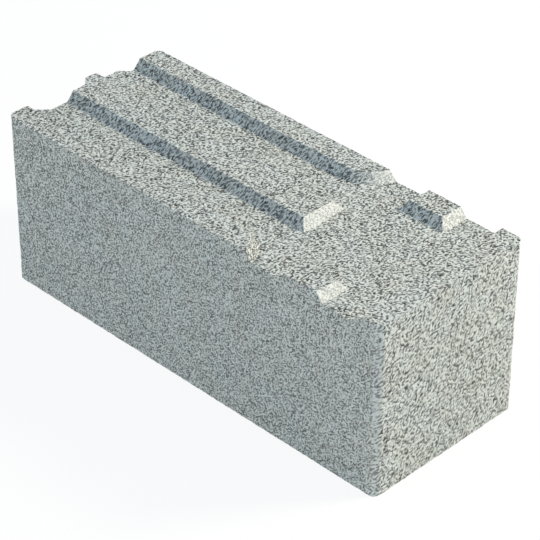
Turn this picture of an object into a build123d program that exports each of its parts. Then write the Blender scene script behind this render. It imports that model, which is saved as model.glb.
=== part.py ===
"""Solid concrete corner block of a mortar-jointed wall, cast in one piece, in millimetres.

The origin is at the middle of the bed face. +X points to the plain end, which shows on the corner
of the wall, +Y to the back face and +Z up to the ribbed top. The other end is a tongue-and-groove
joint that mates with itself turned half round. Two grooves in the top take reinforcing bars along
the wall, and two across take the bars of the wall that meets it at the corner.
"""

import os
from math import atan, degrees

from build123d import *

# Block, measured over its tongues
block_length = 490.0
block_width = 190.0
block_height = 190.0
corner_radius = 8.0

# Tongue-and-groove end, with tongue_width taken half way up the sloping flanks
tongue_depth = 9.5
tongue_width = 51.5
flank_run = 9.0
joint_play = 1.0

# Bar grooves of the top: their mouth, their sloping walls and the ridges beside them
edge_ridge_width = 25.5
groove_mouth = 50.0
groove_depth = 9.5
groove_wall_run = 8.0

# Noses of the edge ridges, which a bar bends round: their radius at the mouth of the groove, and
# how much longer the edge ridges run than the middle ridge
bend_radius = 36.0
nose_lead = 2.5

# How far the cutter of the grooves runs out past the faces of the block
cutter_overrun = 40.0

# Planes of the outline
tongue_tip = -block_length / 2
tongue_root = tongue_tip + tongue_depth
plain_end = block_length / 2
front_face = -block_width / 2
back_face = block_width / 2


def jointed_end():
    """Plan of the tongue-and-groove end, from the front corner to the back corner.

    Flank for flank it is the same profile turned half round, so that a tongue faces each groove.
    The play is shared out over the flanks.
    """
    middle_flank = joint_play / 2
    back_flank = middle_flank + tongue_width
    front_flank = -joint_play - back_flank
    steps = [
        (front_flank, tongue_tip, tongue_root),
        (middle_flank, tongue_root, tongue_tip),
        (back_flank, tongue_tip, tongue_root),
    ]
    points = [(tongue_tip, front_face)]
    for flank, x_before, x_after in steps:
        points.append((x_before, flank - flank_run / 2))
        points.append((x_after, flank + flank_run / 2))
    points.append((tongue_root, back_face))
    return points


def block_blank():
    """The full-height block: its plan with the jointed end and four rounded upright corners."""
    plain_corners = [(plain_end, back_face), (plain_end, front_face)]
    plan = make_face(Polyline(*jointed_end(), *plain_corners, close=True))
    rows = plan.vertices().group_by(Axis.Y)
    plan = fillet(rows[0] + rows[-1], corner_radius)
    return extrude(plan, block_height)


def floor_strip(x_low, x_high, y_low, y_high):
    """One straight strip of groove floor, seen from above."""
    middle = Pos((x_low + x_high) / 2, (y_low + y_high) / 2)
    return middle * Rectangle(x_high - x_low, y_high - y_low)


def bar_grooves():
    """Cutter for the grooves of the top, with walls that lean outwards to the mouth.

    The spacing across the width is repeated along the length from the plain end, so the grooves
    of a turned block line up. Between the two crossings the middle ridge is left out, which makes
    an open pocket where the bars cross. A bar bends round the nose of each edge ridge, so wide
    that the bend runs out through the face of the block.
    """
    near_low = edge_ridge_width + groove_wall_run
    near_high = edge_ridge_width + groove_mouth - groove_wall_run
    far_low = block_width - near_high
    far_high = block_width - near_low

    x_out = tongue_tip - cutter_overrun
    y_front_out = front_face - cutter_overrun
    y_back_out = back_face + cutter_overrun
    x_first = plain_end - far_high
    x_nose = x_first + nose_lead
    x_last = plain_end - near_low
    y_first = front_face + near_low
    y_last = front_face + far_high

    plan = floor_strip(x_first, x_last, y_first, y_last)
    for low, high in ((near_low, near_high), (far_low, far_high)):
        plan += floor_strip(x_out, x_last, front_face + low, front_face + high)
    plan += floor_strip(x_nose, plain_end - far_low, y_front_out, y_back_out)
    plan += floor_strip(plain_end - near_high, x_last, y_front_out, y_back_out)

    noses = [plan.vertices().sort_by_distance((x_nose, y))[0] for y in (y_first, y_last)]
    plan = fillet(noses, bend_radius + groove_wall_run)
    wall_angle = degrees(atan(groove_wall_run / groove_depth))
    floor = Pos(0, 0, block_height - groove_depth) * plan
    return extrude(floor, groove_depth, taper=-wall_angle)


concrete_block = block_blank() - bar_grooves()

os.makedirs("parts", exist_ok=True)
export_step(concrete_block, "parts/concrete_block.step")
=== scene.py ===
from math import cos, radians, sin

import bpy
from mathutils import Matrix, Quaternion, Vector


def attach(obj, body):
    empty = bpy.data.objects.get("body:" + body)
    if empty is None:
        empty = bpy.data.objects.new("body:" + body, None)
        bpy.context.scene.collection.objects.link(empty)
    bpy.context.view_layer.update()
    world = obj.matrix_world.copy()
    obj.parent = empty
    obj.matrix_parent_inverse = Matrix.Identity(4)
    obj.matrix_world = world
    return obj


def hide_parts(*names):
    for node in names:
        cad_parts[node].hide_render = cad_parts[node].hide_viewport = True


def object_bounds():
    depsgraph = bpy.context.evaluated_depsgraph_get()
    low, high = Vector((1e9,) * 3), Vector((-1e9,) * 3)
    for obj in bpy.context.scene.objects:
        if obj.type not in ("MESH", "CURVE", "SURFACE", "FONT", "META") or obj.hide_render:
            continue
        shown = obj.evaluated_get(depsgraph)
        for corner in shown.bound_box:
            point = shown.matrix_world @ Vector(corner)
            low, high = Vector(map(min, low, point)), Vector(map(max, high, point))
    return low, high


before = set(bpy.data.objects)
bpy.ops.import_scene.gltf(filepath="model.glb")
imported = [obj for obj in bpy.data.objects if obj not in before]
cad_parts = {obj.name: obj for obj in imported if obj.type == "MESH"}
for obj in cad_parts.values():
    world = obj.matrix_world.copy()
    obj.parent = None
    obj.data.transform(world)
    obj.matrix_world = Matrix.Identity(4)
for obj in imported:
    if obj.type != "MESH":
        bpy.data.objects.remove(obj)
cad_low, cad_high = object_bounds()


# Concrete block
# The block is pressed in a steel mould from one stiff mix of cement, sand and fine aggregate.
# Its skin is open: pale grains stand close together, with small dark pits between them that are
# all drawn out the same slanting way.

# Even mesh of the skin
octree_depth = 9
octree_fill = 0.97
most_triangles = 192000
sharp_edge = radians(30)

# Coarse lumps and faint waves of the mould, which are sunk into the mesh
lump_pitch = 0.006
lump_detail = 2.0
lump_slope = (0.62, 0.30)
lump_depth = 0.0004
press_wave_pitch = 0.055
press_wave_detail = 1.0
press_wave_depth = 0.00025

# Grains and pits, too fine for the mesh, with heights in metres
grain_pitch = 0.00155
grain_detail = 1.5
grain_distortion = 0.15
grain_slant = Vector((0.5, 1.0, 0.6)).normalized()
grain_stretch = 2.5
grain_relief = 0.0012
pit_slope = (0.545, 0.38)
pit_bump = 0.0008
crowd_pitch = 0.008
crowd_detail = 2.0
crowd_edge = (0.35, 0.60)
crowd_least = 0.75
metre = 1.0

# Marks set by the way a face turns, a painted highlight on the walls that lean across the length
# and fewer pits on the long faces and the corners: how much of the pits or the relief they take
# away, the values of the normal between which they set in, and how far from the long faces the
# corners start
highlight_pits_lost = 0.6
highlight_upward = (0.42, 0.58)
highlight_across = (0.05, 0.35)
highlight_back = (0.25, 0.05)
# The long faces lose a little of their pits, and so of the pits' painted shade
long_face_pits_lost = 0.16
long_face_turn = (0.45, 0.75)
corner_pits_lost = 0.15
corner_relief_lost = 0.65
corner_turn = (0.0, 0.20)
corner_band = (0.020, 0.010)

# Colours and finish
pale_grain = (0.627, 0.672, 0.617, 1.0)
warm_grain = (0.623, 0.651, 0.585, 1.0)
# Paler skin of the walls that lean across the length: a painted highlight
painted_highlight_skin = (0.719, 0.745, 0.685, 1.0)
# Near-black of the pits: painted shade of their hollows
painted_pit_shade = (0.055, 0.060, 0.058, 1.0)
blotch_pitch = 0.035
blotch_detail = 3.0
blotch_edge = (0.38, 0.62)
concrete_roughness = 0.92
concrete_specular = 0.2


class Wire:
    """One socket of a node tree. Sums and products of wires add their Math nodes."""

    def __init__(self, tree, socket=None):
        self.tree = tree
        self.socket = socket

    def node(self, kind, settings, sockets, output=0):
        """Adds a node of that kind: its settings first, then its sockets' values or wires."""
        made = self.tree.nodes.new(kind)
        for name, value in settings.items():
            setattr(made, name, value)
        for name, value in sockets.items():
            if isinstance(value, Wire):
                self.tree.links.new(value.socket, made.inputs[name])
            else:
                made.inputs[name].default_value = value
        return Wire(self.tree, made.outputs[output] if made.outputs else None)

    def math(self, operation, first, second):
        return self.node("ShaderNodeMath", {"operation": operation}, {0: first, 1: second})

    def __add__(self, other):
        return self.math("ADD", self, other)

    __radd__ = __add__

    def __sub__(self, other):
        return self.math("SUBTRACT", self, other)

    def __rsub__(self, other):
        return self.math("SUBTRACT", other, self)

    def __mul__(self, other):
        return self.math("MULTIPLY", self, other)

    __rmul__ = __mul__


def noise(place, pitch, detail, distortion=0.0):
    """Smooth noise about 0.5 whose lumps are about one pitch apart."""
    sockets = {"Vector": place, "Scale": 1 / pitch, "Detail": detail, "Distortion": distortion}
    return place.node("ShaderNodeTexNoise", {}, sockets)


def fade(value, limits):
    """A soft step: 0 at the first limit and 1 at the second, which may be the lower one."""
    sockets = {"Value": value, "From Min": limits[0], "From Max": limits[1]}
    return value.node("ShaderNodeMapRange", {"interpolation_type": "SMOOTHSTEP"}, sockets)


def vector_math(operation, sockets, output=0):
    """A Vector Math node, added to the tree of the first wire among its sockets."""
    wire = next(value for value in sockets.values() if isinstance(value, Wire))
    return wire.node("ShaderNodeVectorMath", {"operation": operation}, sockets, output)


def mixed(share, first, second):
    """The first colour where the share is 0 and the second where it is 1.

    A Mix node has its factor at socket 0, its two colours at 6 and 7 and their mix at output 2.
    """
    sockets = {0: share, 6: first, 7: second}
    return share.node("ShaderNodeMix", {"data_type": "RGBA"}, sockets, 2)


def slanted(place):
    """The place squeezed along the slant, so that what is drawn with it is drawn out that way."""
    reach = vector_math("DOT_PRODUCT", {0: place, 1: grain_slant}, "Value")
    squeeze = vector_math("SCALE", {0: grain_slant, "Scale": reach * (1 - 1 / grain_stretch)})
    return vector_math("SUBTRACT", {0: place, 1: squeeze})


def grains(place):
    """The close-packed grains of the skin: high on a grain and low in the pits between them."""
    return noise(slanted(place), grain_pitch, grain_detail, grain_distortion)


def pits(place):
    """How deep a place of the skin lies in a pit: 0 on the grains and up to 1 on a pit's floor.

    The pits lie in loose crowds, and those between the crowds are shallower.
    """
    crowd = fade(noise(place, crowd_pitch, crowd_detail), crowd_edge)
    return fade(grains(place), pit_slope) * (crowd * (1 - crowd_least) + crowd_least)


def cast_relief():
    """Geometry nodes that sink the coarse lumps and the faint waves of the mould into the skin."""
    tree = bpy.data.node_groups.new("cast_relief", "GeometryNodeTree")
    for way in ("INPUT", "OUTPUT"):
        tree.interface.new_socket("Geometry", in_out=way, socket_type="NodeSocketGeometry")
    start = Wire(tree)
    skin = start.node("NodeGroupInput", {}, {})
    place = start.node("GeometryNodeInputPosition", {}, {})
    normal = start.node("GeometryNodeInputNormal", {}, {})
    lumps = fade(noise(place, lump_pitch, lump_detail), lump_slope)
    waves = noise(place, press_wave_pitch, press_wave_detail)
    depth = lumps * lump_depth + waves * press_wave_depth
    sink = vector_math("SCALE", {0: normal, "Scale": 0 - depth})
    moved = start.node("GeometryNodeSetPosition", {}, {"Geometry": skin, "Offset": sink})
    start.node("NodeGroupOutput", {}, {0: moved})
    return tree


def baked_mesh(piece):
    """The piece's mesh with its modifiers applied."""
    shown = piece.evaluated_get(bpy.context.evaluated_depsgraph_get())
    return bpy.data.meshes.new_from_object(shown)


def open_skin(name, node):
    """A piece with the node's shape, an even fine mesh and the cast relief."""
    piece = bpy.data.objects.new(name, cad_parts[node].data.copy())
    bpy.context.scene.collection.objects.link(piece)
    even = piece.modifiers.new("even mesh", "REMESH")
    even.mode = "SHARP"
    even.octree_depth = octree_depth
    even.scale = octree_fill
    piece.modifiers.new("cast relief", "NODES").node_group = cast_relief()
    dense = baked_mesh(piece)
    piece.modifiers.clear()
    piece.data = dense
    dense.calc_loop_triangles()
    thin = piece.modifiers.new("thin out", "DECIMATE")
    thin.ratio = most_triangles / len(dense.loop_triangles)
    thin.use_collapse_triangulate = True
    piece.data = baked_mesh(piece)
    piece.modifiers.clear()
    piece.data.shade_smooth()
    piece.data.set_sharp_from_angle(angle=sharp_edge)
    return piece


def concrete():
    """Pale greenish grey grains with faint warm blotches, with painted shade in the pits.

    Walls that lean across the length get a painted highlight, a paler skin with fewer pits, but not
    where they turn to the back. The long faces and the walls along the length lose a little of their
    pits, and so of the pits' painted shade. The rounded corners lose more of their pits and most of
    their relief, so that their grains stand out less.
    """
    made = bpy.data.materials.new("open_concrete")
    made.use_nodes = True
    made.node_tree.nodes.clear()
    start = Wire(made.node_tree)
    place = start.node("ShaderNodeTexCoord", {}, {}, "Object")
    normal = start.node("ShaderNodeTexCoord", {}, {}, "Normal")
    along, back, upward = [start.node("ShaderNodeSeparateXYZ", {}, {0: normal}, axis) for axis in "XYZ"]

    # Painted highlight: the walls that lean across the length, unless they turn to the back, get a
    # paler skin with fewer pits
    leaning_across = fade(upward, highlight_upward) * fade(along * along, highlight_across)
    painted_highlight = leaning_across * fade(back, highlight_back)
    # Long faces and walls along the length: fewer pits, so less painted pit shade
    long_face_share = fade(back * back, long_face_turn)
    sideways = start.node("ShaderNodeSeparateXYZ", {}, {0: place}, "Y")
    at_side = fade(sideways * sideways, [(cad_high[1] - band) ** 2 for band in corner_band])
    corner = fade(along * along * back * back, corner_turn) * at_side
    highlight_leaves = 1 - painted_highlight * highlight_pits_lost
    long_face_leaves = 1 - long_face_share * long_face_pits_lost
    corner_leaves = 1 - corner * corner_pits_lost
    hollow = pits(place) * (highlight_leaves * long_face_leaves * corner_leaves)
    relief = grains(place) * grain_relief - hollow * pit_bump
    height = relief * (1 - corner * corner_relief_lost)
    bump = start.node("ShaderNodeBump", {}, {"Height": height, "Distance": metre})

    blotch = fade(noise(place, blotch_pitch, blotch_detail), blotch_edge)
    skin = mixed(painted_highlight, mixed(blotch, pale_grain, warm_grain), painted_highlight_skin)
    # The pits are painted near-black with their shade, and the painted highlight lightens the skin
    finish = {
        "Base Color": mixed(hollow, skin, painted_pit_shade),
        "Roughness": concrete_roughness,
        "Specular IOR Level": concrete_specular,
        "Normal": bump,
    }
    shader = start.node("ShaderNodeBsdfPrincipled", {}, finish)
    start.node("ShaderNodeOutputMaterial", {}, {"Surface": shader})
    return made


block = open_skin("block_cast", "concrete_block")
block.data.materials.clear()
block.data.materials.append(concrete())
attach(block, "root")
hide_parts("concrete_block")


# Floor
# A plain white sweep of studio floor that the block stands on. It glows almost in full where it is
# seen, so that it shows all but white with a faint shadow, and half as much where it lights the block.

floor_size = 12.0
floor_white = (0.90, 0.90, 0.90, 1.0)
glow_white = (1.0, 1.0, 1.0, 1.0)
white_strength = 1.0
floor_glow = 0.9
floor_glow_on_block = 0.45


def shown_rays(start):
    """1 for the rays that show the background: straight to the camera, mirrored or seen through."""
    straight = start.node("ShaderNodeLightPath", {}, {}, "Is Camera Ray")
    mirrored = start.node("ShaderNodeLightPath", {}, {}, "Is Glossy Ray")
    through = start.node("ShaderNodeLightPath", {}, {}, "Is Transmission Ray")
    return start.math("MAXIMUM", start.math("MAXIMUM", straight, mirrored), through)


floor_mesh = bpy.data.meshes.new("floor")
half = floor_size / 2
corners = [(-half, -half, 0), (half, -half, 0), (half, half, 0), (-half, half, 0)]
floor_mesh.from_pydata(corners, [], [(0, 1, 2, 3)])
floor = bpy.data.objects.new("floor", floor_mesh)
bpy.context.scene.collection.objects.link(floor)

floor_paint = bpy.data.materials.new("floor_white")
floor_paint.use_nodes = True
floor_paint.node_tree.nodes.clear()
start = Wire(floor_paint.node_tree)
matt = start.node("ShaderNodeBsdfDiffuse", {}, {"Color": floor_white})
glow = start.node("ShaderNodeEmission", {}, {"Color": glow_white, "Strength": white_strength})
share = shown_rays(start) * (floor_glow - floor_glow_on_block) + floor_glow_on_block
both = start.node("ShaderNodeMixShader", {}, {0: share, 1: matt, 2: glow})
start.node("ShaderNodeOutputMaterial", {}, {"Surface": both})
floor_mesh.materials.append(floor_paint)


# Light
# A broad warm lamp stands behind the block to the right. A faint low softbox lifts the front, and
# a cool sky fills the shade.

sky_colour = (0.675, 0.80, 1.0, 1.0)
sky_strength = 0.757
lamp_colour = (1.0, 0.87, 0.70)
lamp_power = 82.0
lamp_size = 0.6
lamp_place = Vector((1.43, 1.72, 1.91))
softbox_colour = (1.0, 0.80, 0.50)
softbox_power = 2.3
softbox_size = 0.7
softbox_place = Vector((-0.15, -1.7, 0.25))
lamp_aim = Vector((0, 0, 0.1))

world = bpy.data.worlds.new("sky")
bpy.context.scene.world = world
world.use_nodes = True
world.node_tree.nodes.clear()
start = Wire(world.node_tree)
sky = start.node("ShaderNodeBackground", {}, {"Color": sky_colour, "Strength": sky_strength})
white = start.node("ShaderNodeBackground", {}, {"Color": glow_white, "Strength": white_strength})
both = start.node("ShaderNodeMixShader", {}, {0: shown_rays(start), 1: sky, 2: white})
start.node("ShaderNodeOutputWorld", {}, {"Surface": both})


def area_lamp(name, place, size, power, colour):
    """A square lamp that points at the middle of the block."""
    light = bpy.data.lights.new(name, "AREA")
    light.energy = power
    light.color = colour
    light.size = size
    lamp = bpy.data.objects.new(name, light)
    lamp.location = place
    lamp.rotation_mode = "QUATERNION"
    lamp.rotation_quaternion = (place - lamp_aim).to_track_quat("Z", "Y")
    bpy.context.scene.collection.objects.link(lamp)


area_lamp("lamp", lamp_place, lamp_size, lamp_power, lamp_colour)
area_lamp("softbox", softbox_place, softbox_size, softbox_power, softbox_colour)


# Camera
# It looks down on the front and the plain end of the block through a long lens.

camera_turn = radians(44.878)
camera_rise = radians(34.980)
camera_roll = radians(0.129)
camera_distance = 2.3492
camera_aim = Vector((0.0136, 0.0048, 0.0862))
camera_lens = 164.5

level = cos(camera_rise)
to_camera = Vector((sin(camera_turn) * level, -cos(camera_turn) * level, sin(camera_rise)))
camera = bpy.data.objects.new("camera", bpy.data.cameras.new("camera"))
camera.data.lens = camera_lens
camera.location = camera_aim + camera_distance * to_camera
camera.rotation_mode = "QUATERNION"
camera.rotation_quaternion = to_camera.to_track_quat("Z", "Y") @ Quaternion((0, 0, 1), camera_roll)
bpy.context.scene.collection.objects.link(camera)
bpy.context.scene.camera = camera
bpy.context.scene.view_settings.view_transform = "Standard"
